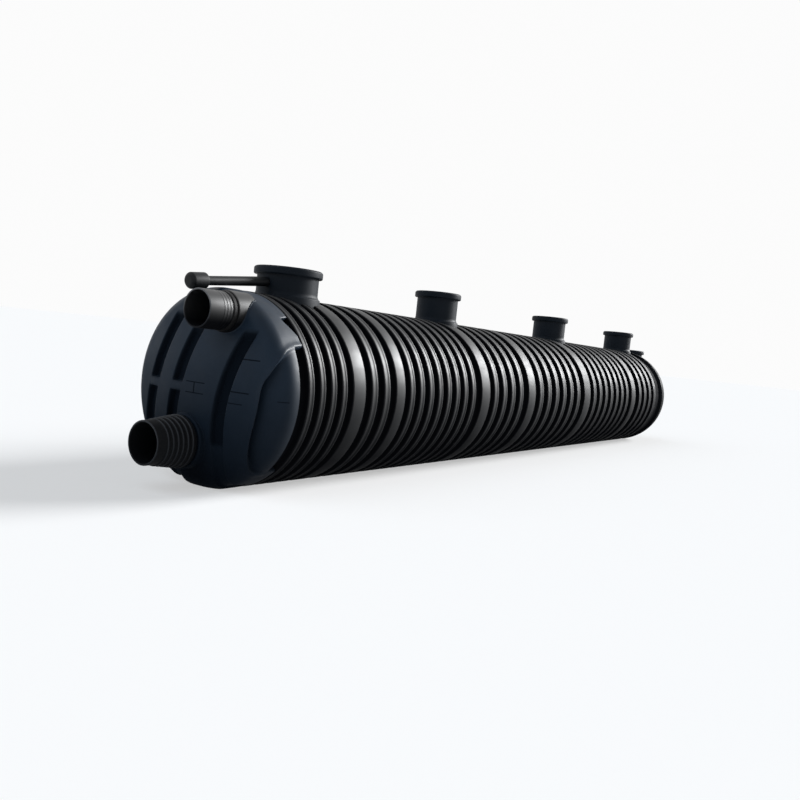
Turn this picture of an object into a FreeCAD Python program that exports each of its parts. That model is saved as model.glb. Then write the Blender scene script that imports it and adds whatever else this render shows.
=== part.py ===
import FreeCAD, Part
import math
import os
import Sketcher

# Oil separator: a long horizontal tank of black polyethylene that lies on the floor.
# Frame: X runs along the tank from the inlet end to the outlet end, Z is up, and the
# origin lies on the floor under the middle of the overall length. All lengths are in mm.

os.makedirs("parts", exist_ok=True)
doc = FreeCAD.newDocument("OilSeparator")
sheet = doc.addObject("Spreadsheet::Sheet", "Sizes")

X_DIR = FreeCAD.Vector(1, 0, 0)
Y_DIR = FreeCAD.Vector(0, 1, 0)
Z_DIR = FreeCAD.Vector(0, 0, 1)
# turns a solid that stands on Z so that it lies along X
ALONG_X = FreeCAD.Rotation(Y_DIR, 90)


class Size:
    """A number that carries its spreadsheet formula along."""

    def __init__(self, value, formula):
        self.value = float(value)
        self.formula = formula

    def _with(self, other, sign, value):
        return Size(value, f"({self.formula} {sign} {as_size(other).formula})")

    def __add__(self, other):
        return self._with(other, "+", self.value + as_size(other).value)

    def __sub__(self, other):
        return self._with(other, "-", self.value - as_size(other).value)

    def __mul__(self, other):
        return self._with(other, "*", self.value * as_size(other).value)

    def __truediv__(self, other):
        return self._with(other, "/", self.value / as_size(other).value)

    def __rsub__(self, other):
        return as_size(other) - self

    def __neg__(self):
        return Size(-self.value, f"(0 - {self.formula})")


def as_size(x):
    return x if isinstance(x, Size) else Size(x, repr(float(x)))


def root(x):
    return Size(math.sqrt(x.value), f"sqrt({x.formula})")


row = 0


def size(alias, value, note):
    """A driving size in the spreadsheet."""
    global row
    row += 1
    sheet.set(f"A{row}", alias)
    sheet.set(f"B{row}", str(value))
    sheet.set(f"C{row}", note)
    sheet.setAlias(f"B{row}", alias)
    return Size(value, f"Sizes.{alias}")


# driving sizes: tank wall
radius = size("tank_radius", 1100, "outside of the ribs")
rib_height = size("rib_height", 60, "ribs above the wall, and depth of the dome grooves")
wall = size("wall_thickness", 25, "wall of barrel and domes")
flat_cut = size("flat_cut", 30, "taken off the underside so that the tank lies still")
rib_share = size("rib_share", 0.43, "rib top width over rib pitch")
rib_draft = size("rib_draft", 18, "run of a rib's slanting side")

# driving sizes: the ring sections of the barrel
LEAD_RIBS = ("lead_ribs", 4, "narrow ribs before the wide rib of section 1")
section_lengths = []
wide_places = []
wide_widths = []
rib_places = []
rib_pitches = []
rib_counts = []
SECTIONS = [
    # length, wide rib place, wide rib width, first rib place, rib pitch, ribs
    (1750, 1053, 223, 1358, 258, 2),
    (2210, 160, 186, 433, 233, 8),
    (1630, 226, 249, 571, 297, 4),
    (2530, 242, 263, 635, 341, 6),
    (2890, 270, 307, 691, 335, 7),
    (2520, 248, 267, 746, 377, 4),
]
for k, (length, wide_at, wide_w, rib_at, pitch, count) in enumerate(SECTIONS, 1):
    section_lengths.append(size(f"section_{k}_length", length, "ring section"))
    wide_places.append(size(f"section_{k}_wide_at", wide_at, "middle of its wide rib"))
    wide_widths.append(size(f"section_{k}_wide_width", wide_w, "top of its wide rib"))
    rib_places.append(size(f"section_{k}_rib_at", rib_at, "middle of its first rib"))
    rib_pitches.append(size(f"section_{k}_pitch", pitch, "rib to rib"))
    rib_counts.append(size(f"section_{k}_ribs", count, "ribs after the wide rib"))
lead_count = size(*LEAD_RIBS)
lead_at = size("lead_rib_at", 198, "middle of the first rib of section 1")
lead_pitch = size("lead_rib_pitch", 193, "rib to rib ahead of the wide rib")
shoulder_run = size("shoulder_run", 115, "shoulder of section 1 that carries on the inlet dome")
shoulder_drop = size("shoulder_drop", 4, "shoulder below the ribs")

# driving sizes: domes
inlet_skirt = size("inlet_skirt", 150, "straight rim of the inlet dome")
inlet_over = size("inlet_dish_over", 2900, "dish of the inlet dome, beyond the tank radius")
inlet_knuckle = size("inlet_knuckle_radius", 180, "rounding between its dish and its rim")
hollow_over = size("hollow_dish_over", 3300, "dish of its hollow, beyond the tank radius")
hollow_knuckle = size("hollow_knuckle_radius", 280, "rounding of its hollow")
outlet_skirt = size("outlet_skirt", 40, "straight rim of the outlet dome")
outlet_over = size("outlet_dish_over", 220, "dish of the outlet dome, beyond the tank radius")
outlet_under = size("outlet_knuckle_under", 200, "tank radius beyond its knuckle radius")
groove_lean = size("groove_lean", 0.23, "sideways run of the dome pattern per height")
groove_bow = size("groove_bow", 0.23, "its bend, per height squared over the tank radius")
groove_shift = size("groove_shift", 70, "middle of the dome pattern, at axis height")
groove_near = size("groove_near", 275, "inner edge of the grooves from that middle")
groove_width = size("groove_width", 150, "width of the grooves")
groove_top = size("groove_top_inset", 440, "top of the grooves below the top of the tank")
groove_foot = size("groove_foot_inset", 530, "foot of the grooves above the underside")
shallow_depth = size("shallow_depth", 28, "depth of the grooves from that foot to the underside")
outer_near = size("outer_groove_near", 690, "inner edge of the far side's outer groove")
outer_top = size("outer_groove_top_inset", 310, "its top below the top of the tank")
outer_foot = size("outer_groove_foot_inset", 650, "its foot above the underside")
cheek_width = size("cheek_width", 226, "cheek recess of the near side, in from the rim")
cheek_lean = size("cheek_lean", 0.16, "sideways run of its inner edge per height")
cheek_top = size("cheek_top_inset", 533, "top of the cheek recess below the top of the tank")
cheek_round = size("cheek_round", 210, "rounding at the top of the cheek recess")
cheek_dish = size("cheek_dish", 430, "depth of the bowl that forms the floor of the cheek")
bar_width = size("bar_width", 105, "cross bar over the grooves of the far side")
bar_inset = size("bar_inset", 310, "end of the cross bar, in from the rim")

# driving sizes: access necks
NECKS = [
    # place along the barrel, bore radius, tube wall, top above the tank
    (880, 350, 16, 335),
    (4336, 300, 15, 440),
    (8735, 300, 15, 440),
    (12978, 300, 15, 440),
]
LAST_NECK = (495, 300, 15, 60)
neck_places = []
neck_bores = []
neck_walls = []
neck_rises = []
for k, (place, bore, thick, rise) in enumerate(NECKS + [LAST_NECK], 1):
    origin = "from the start of the barrel" if k <= len(NECKS) else "past the end of the barrel"
    neck_places.append(size(f"neck_{k}_at", place, origin))
    neck_bores.append(size(f"neck_{k}_bore_radius", bore, "clear opening"))
    neck_walls.append(size(f"neck_{k}_wall", thick, "tube wall"))
    neck_rises.append(size(f"neck_{k}_rise", rise, "top of the neck above the ribs"))
skirt_run = size("skirt_run", 32, "how far a neck's foot spreads")
skirt_rise = size("skirt_rise", 55, "height of that spread above the barrel")
last_foot = size("last_foot_inset", 440, "foot of the last neck below the top of the tank")
collar_height = size("collar_height", 95, "bead collar at a neck's top")
collar_run = size("collar_run", 42, "how far the collar stands out")
collar_round = size("collar_round", 26, "rounding of the collar")

# driving sizes: pipes of the inlet dome
upper_offset = size("upper_offset", 330, "upper pipe, to the side of the middle")
upper_inset = size("upper_inset", 262, "upper pipe below the top of the tank")
upper_radius = size("upper_radius", 200, "outside of the upper pipe")
upper_wall = size("upper_wall", 18, "wall of the upper pipe")
upper_stand = size("upper_stand", 345, "mouth of the upper pipe ahead of the dome")
upper_length = size("upper_length", 667, "length of the upper pipe")
socket_stand = size("socket_stand", 85, "socket ahead of the dome's knuckle")
socket_run = size("socket_run", 22, "socket outside the pipe")
seal_width = size("seal_width", 60, "rubber seal ring in front of the socket")
seal_run = size("seal_run", 9, "seal ring outside the pipe")
bead_count = size("bead_count", 3, "stop beads on the upper pipe")
bead_pitch = size("bead_pitch", 42, "bead to bead")
bead_width = size("bead_width", 20, "width of a stop bead")
bead_rise = size("bead_rise", 5, "height of a stop bead")
lower_offset = size("lower_offset", 100, "lower pipe, to the other side of the middle")
lower_lift = size("lower_lift", 517, "lower pipe above the underside of the tank")
lower_radius = size("lower_radius", 235, "outside of the lower pipe's mouth")
lower_wall = size("lower_wall", 22, "wall of the lower pipe")
lower_stand = size("lower_stand", 518, "mouth of the lower pipe ahead of the dome")
lower_length = size("lower_length", 810, "length of the lower pipe")
lip_length = size("lip_length", 120, "smooth lip of the lower pipe")
ring_count = size("ring_count", 6, "rings of the lower pipe")
ring_pitch = size("ring_pitch", 58, "ring to ring")
ring_top = size("ring_top", 20, "flat top of a ring")
ring_draft = size("ring_draft", 10, "run of a ring's slanting side")
ring_rise = size("ring_rise", 14, "height of a ring")
ring_growth = size("ring_growth", 8, "each ring is that much larger than the last")
base_run = size("base_run", 62, "base collar outside the lower pipe")
base_stand = size("base_stand", 25, "base collar ahead of the dome")

# driving sizes: vent branch of the first neck
vent_root = size("vent_root_radius", 58, "outside of the vent pipe at the neck's middle")
vent_radius = size("vent_radius", 50, "outside of the vent pipe at its cap")
vent_wall = size("vent_wall", 6, "wall of the vent pipe")
vent_rise = size("vent_rise", 186, "vent above the ribs, at the neck's middle")
vent_fall = size("vent_fall", 6.5, "fall of the vent in degrees")
cap_stand = size("cap_stand", 415, "back of the end cap past the barrel, along the vent")
cap_radius = size("cap_radius", 88, "outside of the end cap")
cap_length = size("cap_length", 235, "length of the end cap")
cap_grip = size("cap_grip", 150, "how far the cap reaches over the pipe")
cap_round = size("cap_round", 32, "rounding of the cap")
doc.recompute()


def dish_depth(dish_radius, knuckle_radius):
    """Depth of a dished end of the full tank radius, without its straight rim."""
    spread = dish_radius - knuckle_radius
    level = radius - knuckle_radius
    return dish_radius - root(spread * spread - level * level)


axis_height = radius - flat_cut
wall_radius = radius - rib_height
inner_radius = wall_radius - wall
dome_wall = rib_height + wall
barrel_length = section_lengths[0]
for length in section_lengths[1:]:
    barrel_length = barrel_length + length
inlet_crown = radius + inlet_over
outlet_crown = radius + outlet_over
outlet_knuckle = radius - outlet_under
inlet_depth = inlet_skirt + dish_depth(inlet_crown, inlet_knuckle)
outlet_depth = outlet_skirt + dish_depth(outlet_crown, outlet_knuckle)
lower_reach = inlet_depth + lower_stand
start = (lower_reach - barrel_length - outlet_depth) / 2
finish = start + barrel_length
neck_x = [start + at for at in neck_places[:-1]] + [finish + neck_places[-1]]
neck_tops = [radius + rise for rise in neck_rises]


def bind(item, **sizes):
    """Ties properties to formulas; a double underscore stands for a dot."""
    for prop, value in sizes.items():
        item.setExpression(prop.replace("__", "."), as_size(value).formula)


def put(item, x=0, y=0, z=0, turn=None):
    """Places an object, with its base point tied to formulas."""
    place = FreeCAD.Placement()
    if turn is not None:
        place.Rotation = turn
    item.Placement = place
    bind(item, Placement__Base__x=x, Placement__Base__y=y, Placement__Base__z=z)
    return item


def new_body(name):
    return doc.addObject("PartDesign::Body", name)


def plane_of(body, role):
    for feature in body.Origin.OriginFeatures:
        if feature.Role == role:
            return feature
    raise ValueError(role)


def new_sketch(body, name, role="XZ_Plane"):
    sketch = body.newObject("Sketcher::SketchObject", name)
    sketch.AttachmentSupport = [(plane_of(body, role), "")]
    sketch.MapMode = "FlatFace"
    return sketch


def fix_point(sketch, line, end, x, y):
    """Dimensions one end of a line from the sketch origin."""
    for kind, axis, value in (("DistanceX", -2, as_size(x)), ("DistanceY", -1, as_size(y))):
        if value.value == 0:
            sketch.addConstraint(Sketcher.Constraint("PointOnObject", line, end, axis))
            continue
        index = sketch.addConstraint(
            Sketcher.Constraint(kind, -1, 1, line, end, value.value)
        )
        sketch.setExpression(f"Constraints[{index}]", value.formula)


def outline(sketch, corners):
    """A closed outline of straight lines, every corner tied to formulas."""
    points = [(as_size(x), as_size(y)) for x, y in corners]
    count = len(points)
    for i in range(count):
        (x0, y0), (x1, y1) = points[i], points[(i + 1) % count]
        sketch.addGeometry(
            Part.LineSegment(
                FreeCAD.Vector(x0.value, y0.value, 0), FreeCAD.Vector(x1.value, y1.value, 0)
            )
        )
    for i in range(count):
        sketch.addConstraint(Sketcher.Constraint("Coincident", i, 2, (i + 1) % count, 1))
    for i in range(count):
        fix_point(sketch, i, 1, *points[i])
    return sketch


def turned(body, sketch, axis="H_Axis"):
    """A full turn of a sketch about one of its axes."""
    solid = body.newObject("PartDesign::Revolution", sketch.Name + "Turn")
    solid.Profile = sketch
    solid.ReferenceAxis = (sketch, [axis])
    solid.Angle = 360
    sketch.Visibility = False
    return solid


def lathe(name, corners, axis="H_Axis"):
    """A body turned from one outline."""
    body = new_body(name)
    turned(body, outline(new_sketch(body, name + "Outline"), corners), axis)
    return body


def rounded(body, amount, is_wanted):
    """Rounds those edges of a body that pass a test."""
    doc.recompute()
    base = body.Tip
    edges = [f"Edge{i}" for i, e in enumerate(base.Shape.Edges, 1) if is_wanted(e)]
    fillet = body.newObject("PartDesign::Fillet", body.Name + "Round")
    fillet.Base = (base, edges)
    bind(fillet, Radius=amount)
    return body


def is_circle(edge, rad, *places, axis="z"):
    """Whether an edge is a full circle of a radius at one of several places on an axis."""
    curve = edge.Curve
    if not isinstance(curve, Part.Circle) or abs(curve.Radius - rad.value) > 0.01:
        return False
    return any(abs(getattr(curve.Center, axis) - p.value) < 0.01 for p in places)


def prism(name, corners, beyond=0):
    """An outline in the YZ plane, about the tank axis, drawn out through the inlet dome."""
    body = new_body(name)
    sketch = outline(new_sketch(body, name + "Outline", "YZ_Plane"), corners)
    pad = body.newObject("PartDesign::Pad", name + "Pad")
    pad.Profile = sketch
    bind(pad, Length=inlet_depth * 2 + beyond)
    sketch.Visibility = False
    return put(body, x=start - inlet_depth * 2, z=axis_height)


def cylinder(name, rad, height, angle=360):
    item = doc.addObject("Part::Cylinder", name)
    bind(item, Radius=rad, Height=height)
    item.Angle = angle
    return item


def cut(name, base, *tools):
    item = doc.addObject("Part::Cut", name)
    item.Base = base
    item.Tool = tools[0] if len(tools) == 1 else together(name + "Tools", *tools)
    return item


def common(name, base, tool):
    item = doc.addObject("Part::Common", name)
    item.Base = base
    item.Tool = tool
    return item


def together(name, *items):
    item = doc.addObject("Part::Compound", name)
    item.Links = list(items)
    return item


nodes = {}


def node(name, item):
    item.Label = name
    nodes[name] = item


def sector(name, turn, x, length):
    """A quarter of a disc around the tank axis; turn 0 runs from below to the +Y side."""
    item = cylinder(name, radius * 2, length, 90)
    return put(item, x=x, z=axis_height, turn=FreeCAD.Rotation(X_DIR, turn) * ALONG_X)


def panels(label, ring, x, length, openings=()):
    """Divides a ring or dome into its crown, flank and invert panels."""
    crown = common(label + "CrownPanel", ring, sector(label + "Top", 135, x, length))
    if openings:
        crown = cut(label + "CrownOpened", crown, *openings)
    sides = together(
        label + "Sides",
        sector(label + "SideA", 45, x, length),
        sector(label + "SideB", 225, x, length),
    )
    invert = common(label + "InvertPanel", ring, sector(label + "Foot", 315, x, length))
    return crown, common(label + "FlankPanels", ring, sides), cut(
        label + "InvertFlat", invert, ground
    )


ground = doc.addObject("Part::Box", "Ground")
bind(ground, Length=barrel_length + radius * 4, Width=radius * 2, Height=radius)
put(ground, x=start - radius * 2, y=-radius, z=-radius)

wall_form = cylinder("WallForm", wall_radius, barrel_length)
put(wall_form, x=start, z=axis_height, turn=ALONG_X)


# access necks: a tube with a spread foot, trimmed to the surface it stands on
def neck_opening(k):
    opening = cylinder(f"Neck{k + 1}Opening", neck_bores[k], neck_tops[k])
    return put(opening, x=neck_x[k], z=axis_height)


def neck_room(k, seat):
    """The room for a neck's foot outside the wall."""
    spread = neck_bores[k] + neck_walls[k] + skirt_run
    room = cylinder(f"Neck{k + 1}Room", spread, neck_tops[k])
    put(room, x=neck_x[k], z=axis_height)
    return cut(f"Neck{k + 1}Seat", room, seat)


def neck(k, seat, foot):
    bore, top = neck_bores[k], neck_tops[k]
    tube = bore + neck_walls[k]
    body = lathe(
        f"Neck{k + 1}Form",
        [
            (bore, 0),
            (tube + skirt_run, 0),
            (tube + skirt_run, foot),
            (tube + skirt_run / 3, foot + skirt_rise / 3),
            (tube, foot + skirt_rise),
            (tube, top),
            (bore, top),
        ],
        "V_Axis",
    )
    put(body, x=neck_x[k], z=axis_height)
    outside = tube + collar_run
    collar = lathe(
        f"Neck{k + 1}Collar",
        [
            (tube, top - collar_height),
            (outside, top - collar_height),
            (outside, top),
            (tube, top),
        ],
        "V_Axis",
    )
    rounded(collar, collar_round, lambda e: is_circle(e, outside, top, top - collar_height))
    put(collar, x=neck_x[k], z=axis_height)
    node(f"neck_{k + 1}_collar", collar)
    return cut(f"Neck{k + 1}Trimmed", body, seat)


# cheek recess of the near side: it lies in the inlet dome and in the shoulder behind it
def cheek(name):
    """The outline of the recess, round at its inner top corner."""
    near = cheek_width - radius
    head = radius - cheek_top
    low = (near + cheek_lean * radius, -radius)
    high = (near - cheek_lean * head, head)
    outside = radius * -2
    body = prism(name, [low, (outside, -radius), (outside, head), high], shoulder_run)

    def is_corner(edge):
        return all(abs(v.Y - high[0].value) < 0.01 for v in edge.Vertexes)

    return rounded(body, cheek_round, is_corner)


cheek_form = cheek("Cheek")


# ring sections of the barrel
NECK_OF_SECTION = {1: 0, 3: 1, 5: 2, 6: 3}


def rib_corners(middle, width):
    """A rib's trapezium, with its foot a little inside the wall."""
    half = width / 2
    sunk = wall_radius - wall / 2
    return [
        (middle - half - rib_draft, sunk),
        (middle - half - rib_draft, wall_radius),
        (middle - half, radius),
        (middle + half, radius),
        (middle + half + rib_draft, wall_radius),
        (middle + half + rib_draft, sunk),
    ]


def shoulder_corners():
    """The shoulder's outline, with its foot a little inside the wall."""
    sunk = wall_radius - wall / 2
    edge = radius - shoulder_drop
    return [(0, sunk), (0, edge), (shoulder_run - rib_draft, edge), (shoulder_run, sunk)]


def rib_row(body, name, middle, pitch, count):
    """Equal ribs, repeated along the barrel."""
    sketch = outline(new_sketch(body, name), rib_corners(middle, pitch * rib_share))
    rib = turned(body, sketch)
    rows = body.newObject("PartDesign::LinearPattern", name + "Row")
    rows.Originals = [rib]
    rows.Direction = (sketch, ["H_Axis"])
    bind(rows, Length=pitch * (count - 1), Occurrences=count)
    body.Tip = rows


def ring_section(k):
    length = section_lengths[k - 1]
    body = new_body(f"Section{k}Ring")
    pipe = outline(
        new_sketch(body, f"Section{k}Wall"),
        [(0, inner_radius), (length, inner_radius), (length, wall_radius), (0, wall_radius)],
    )
    turned(body, pipe)
    wide = outline(
        new_sketch(body, f"Section{k}Wide"),
        rib_corners(wide_places[k - 1], wide_widths[k - 1]),
    )
    turned(body, wide)
    if k == 1:
        shoulder = outline(new_sketch(body, "Section1Shoulder"), shoulder_corners())
        turned(body, shoulder)
        rib_row(body, "Section1Lead", lead_at, lead_pitch, lead_count)
    rib_row(
        body, f"Section{k}Ribs", rib_places[k - 1], rib_pitches[k - 1], rib_counts[k - 1]
    )
    return body


place = start
for k in range(1, len(SECTIONS) + 1):
    length = section_lengths[k - 1]
    ring = put(ring_section(k), x=place, z=axis_height)
    if k == 1:
        ring = cut("Section1Recessed", ring, cut("ShoulderRecess", cheek_form, wall_form))
    openings = ()
    if k in NECK_OF_SECTION:
        k_neck = NECK_OF_SECTION[k]
        openings = (neck_opening(k_neck), neck_room(k_neck, wall_form))
    crown, flanks, invert = panels(f"Section{k}", ring, place, length, openings)
    node(f"section_{k}_crown", crown)
    node(f"section_{k}_flanks", flanks)
    node(f"section_{k}_invert", invert)
    place = place + length


# end domes: a straight rim, a knuckle and a dish
def dish(name, rim, crown, knuckle, skirt):
    """A solid dished end that bulges to -X from its rim plane."""
    spread = crown.value - knuckle.value
    level = rim.value - knuckle.value
    back = math.sqrt(spread**2 - level**2)
    joint_x = -knuckle.value * back / spread
    joint_z = level + knuckle.value * level / spread
    edge = -skirt.value
    body = new_body(name)
    sketch = new_sketch(body, name + "Outline")
    zero = FreeCAD.Vector(0, 0, 0)
    corner = FreeCAD.Vector(0, rim.value, 0)
    knuckle_middle = FreeCAD.Vector(edge, level, 0)
    crown_middle = FreeCAD.Vector(edge + back, 0, 0)
    knuckle_to = math.atan2(joint_z - level, joint_x)
    crown_from = math.atan2(joint_z, joint_x - back)
    sketch.addGeometry(Part.LineSegment(zero, corner))
    sketch.addGeometry(Part.LineSegment(corner, FreeCAD.Vector(edge, rim.value, 0)))
    sketch.addGeometry(
        Part.ArcOfCircle(
            Part.Circle(knuckle_middle, Z_DIR, knuckle.value), math.pi / 2, knuckle_to
        )
    )
    sketch.addGeometry(
        Part.ArcOfCircle(Part.Circle(crown_middle, Z_DIR, crown.value), crown_from, math.pi)
    )
    apex = FreeCAD.Vector(edge + back - crown.value, 0, 0)
    sketch.addGeometry(Part.LineSegment(apex, zero))
    for rule in (
        ("Coincident", 0, 1, -1, 1),
        ("PointOnObject", 0, 2, -2),
        ("Coincident", 0, 2, 1, 1),
        ("Horizontal", 1),
        ("Tangent", 1, 2, 2, 1),
        ("Tangent", 2, 2, 3, 1),
        ("PointOnObject", 3, 3, -1),
        ("PointOnObject", 3, 2, -1),
        ("Coincident", 3, 2, 4, 1),
        ("Coincident", 4, 2, -1, 1),
    ):
        sketch.addConstraint(Sketcher.Constraint(*rule))
    for kind, args, value in (
        ("DistanceY", (0, 1, 0, 2), rim),
        ("DistanceX", (1, 2, 1, 1), skirt),
        ("Radius", (2,), knuckle),
        ("Radius", (3,), crown),
    ):
        index = sketch.addConstraint(Sketcher.Constraint(kind, *args, value.value))
        sketch.setExpression(f"Constraints[{index}]", value.formula)
    turned(body, sketch)
    return body


def inset_dish(name, inset, crown, knuckle, skirt):
    """A dished end that lies parallel inside the tank's outside."""
    return dish(name, radius - inset, crown - inset, knuckle - inset, skirt)


def at_inlet(body, setback=0):
    return put(body, x=start + setback, z=axis_height)


def at_outlet(body):
    return put(body, x=finish, z=axis_height, turn=FreeCAD.Rotation(Z_DIR, 180))


inlet_form = at_inlet(inset_dish("InletForm", 0, inlet_crown, inlet_knuckle, inlet_skirt))
inlet_floor = at_inlet(
    inset_dish("InletGrooveFloor", rib_height, inlet_crown, inlet_knuckle, inlet_skirt)
)
inlet_shallow = at_inlet(
    inset_dish("InletShallowFloor", shallow_depth, inlet_crown, inlet_knuckle, inlet_skirt)
)
# the hollow has no straight rim of its own: that lies inside the barrel
inlet_hollow = at_inlet(
    dish("InletHollow", inner_radius, radius + hollow_over, hollow_knuckle, inlet_skirt),
    inlet_skirt,
)
cheek_floor = doc.addObject("Part::Ellipsoid", "CheekFloor")
bind(cheek_floor, Radius1=cheek_dish, Radius2=radius, Radius3=radius)
put(cheek_floor, x=start, z=axis_height, turn=ALONG_X)

# dome pattern: leaning grooves, a cross bar left standing over those of the far side, and a
# cheek recess on the near side
groove_head = radius - groove_top
groove_toe = groove_foot - radius
outer_head = radius - outer_top
outer_toe = outer_foot - radius


def leaning(across, height):
    """A point of the dome pattern, which leans and bends to one side with its height."""
    bend = groove_bow * height * height / radius
    return across - groove_shift - groove_lean * height - bend, height


def groove_part(name, near, far, toe, head, steps, skin):
    """A run of a groove, its bent sides drawn in straight steps."""
    heights = [toe + (head - toe) * i / steps for i in range(steps + 1)]
    corners = [leaning(far, height) for height in heights]
    corners += [leaning(near, height) for height in reversed(heights)]
    return common(name + "Recess", prism(name, corners), skin)


def groove(name, near, far, toe, head):
    """A leaning groove between two distances from the pattern's middle."""
    return together(
        name + "All",
        groove_part(name, near, far, toe, head, 5, groove_skin),
        groove_part(name + "Foot", near, far, -radius, toe, 2, shallow_skin),
    )


half_bar = bar_width / 2
bar_end = radius - bar_inset
bar = prism("CrossBar", [(0, -half_bar), (bar_end, -half_bar), (bar_end, half_bar), (0, half_bar)])
groove_skin = cut("GrooveSkin", inlet_form, inlet_floor)
shallow_skin = cut("ShallowSkin", inlet_form, inlet_shallow)
cheek_skin = cut("CheekSkin", inlet_form, cheek_floor)
groove_far = groove_near + groove_width
far_grooves = together(
    "FarGrooves",
    groove("FarGroove", groove_near, groove_far, groove_toe, groove_head),
    groove("OuterGroove", outer_near, outer_near + groove_width, outer_toe, outer_head),
)
recesses = [
    groove("NearGroove", -groove_near, -groove_far, groove_toe, groove_head),
    common("CheekRecess", cheek_form, cheek_skin),
    cut("FarRecesses", far_grooves, bar),
]
inlet_carved = cut("InletCarved", inlet_form, *recesses)

upper_z = axis_height + radius - upper_inset
lower_z = axis_height - radius + lower_lift
upper_reach = inlet_depth + upper_stand


def pipe_hole(name, rad, length, reach, y, z):
    """The room that a pipe takes in the inlet dome."""
    return put(cylinder(name, rad, length), x=start - reach, y=y, z=z, turn=ALONG_X)


upper_hole = pipe_hole(
    "UpperHole", upper_radius, upper_length, upper_reach, -upper_offset, upper_z
)
lower_hole = pipe_hole(
    "LowerHole", lower_radius, lower_length, lower_reach, lower_offset, lower_z
)
inlet_shell = cut("InletShell", inlet_carved, inlet_hollow)
inlet_open = cut("InletOpened", inlet_shell, upper_hole, lower_hole)
crown, flanks, invert = panels("Inlet", inlet_open, start - inlet_depth * 2, inlet_depth * 2)
node("inlet_dome_crown", crown)
node("inlet_dome_flanks", flanks)
node("inlet_dome_invert", invert)

outlet_form = at_outlet(inset_dish("OutletForm", 0, outlet_crown, outlet_knuckle, outlet_skirt))
outlet_hollow = at_outlet(
    inset_dish("OutletHollow", dome_wall, outlet_crown, outlet_knuckle, outlet_skirt)
)
outlet_shell = cut("OutletShell", outlet_form, outlet_hollow)
last_opening = neck_opening(len(NECKS))
crown, flanks, invert = panels("Outlet", outlet_shell, finish, outlet_depth * 2, (last_opening,))
node("outlet_dome_crown", crown)
node("outlet_dome_flanks", flanks)
node("outlet_dome_invert", invert)

# vent branch of the first neck, falling towards the inlet end
vent_place = (neck_x[0], 0, axis_height + radius + vent_rise)


def vent_lathe(name, corners):
    """A body turned about the vent's axis, x being the way out from the neck."""
    body = lathe(name, corners)
    put(body, *vent_place, turn=FreeCAD.Rotation(Y_DIR, 180 - vent_fall.value))
    bind(body, Placement__Rotation__Angle=180 - vent_fall)
    return body


vent_inner = vent_radius - vent_wall
root_inner = vent_root - vent_wall
cap_from = neck_places[0] + cap_stand
cap_to = cap_from + cap_length
vent_length = cap_from + cap_grip
vent_tube = vent_lathe(
    "VentTube",
    [
        (0, root_inner),
        (cap_from, vent_inner),
        (vent_length, vent_inner),
        (vent_length, vent_radius),
        (cap_from, vent_radius),
        (0, vent_root),
    ],
)
vent_way = vent_lathe("VentWay", [(0, 0), (cap_from, 0), (cap_from, vent_inner), (0, root_inner)])
cap = vent_lathe(
    "VentCap",
    [
        (cap_from, vent_radius),
        (vent_length, vent_radius),
        (vent_length, 0),
        (cap_to, 0),
        (cap_to, cap_radius - cap_round),
        (cap_to - cap_round, cap_radius),
        (cap_from + cap_round / 2, cap_radius),
        (cap_from, cap_radius - cap_round / 2),
    ],
)
node("vent_cap", cap)

first_neck = cut("Neck1Branched", neck(0, wall_form, radius), vent_way)
node("neck_1_tube", first_neck)
for k in range(1, len(NECKS)):
    node(f"neck_{k + 1}_tube", neck(k, wall_form, radius))
node("neck_5_tube", neck(len(NECKS), outlet_form, radius - last_foot))

neck_outside = cylinder("Neck1Outside", neck_bores[0] + neck_walls[0], neck_tops[0])
put(neck_outside, x=neck_x[0], z=axis_height)
node("vent_pipe", cut("VentPipe", vent_tube, neck_outside))

# upper pipe: a smooth stub with stop beads, a rubber seal and a socket on the dome
socket_length = inlet_knuckle + socket_stand
socket_reach = inlet_skirt + socket_length
upper_bore = upper_radius - upper_wall
seal_at = upper_reach - socket_reach - seal_width


def at_upper(body, reach):
    return put(body, x=start - reach, y=-upper_offset, z=upper_z)


corners = [(0, upper_bore), (upper_length, upper_bore), (upper_length, upper_radius)]
for i in range(int(bead_count.value)):
    bead_end = seal_at - bead_pitch * (i + 1) + bead_width
    corners += [
        (bead_end, upper_radius),
        (bead_end, upper_radius + bead_rise),
        (bead_end - bead_width, upper_radius + bead_rise),
        (bead_end - bead_width, upper_radius),
    ]
corners.append((0, upper_radius))
node("upper_pipe", at_upper(lathe("UpperPipe", corners), upper_reach))
seal_outside = upper_radius + seal_run
seal = lathe(
    "UpperSeal",
    [
        (0, upper_radius),
        (seal_width, upper_radius),
        (seal_width, seal_outside),
        (0, seal_outside),
    ],
)
node("upper_seal", at_upper(seal, socket_reach + seal_width))
socket_outside = upper_radius + socket_run
socket_form = lathe(
    "UpperSocketForm",
    [
        (0, upper_radius),
        (socket_length, upper_radius),
        (socket_length, socket_outside),
        (0, socket_outside),
    ],
)
at_upper(socket_form, socket_reach)
node("upper_socket", cut("UpperSocket", socket_form, inlet_form))

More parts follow.
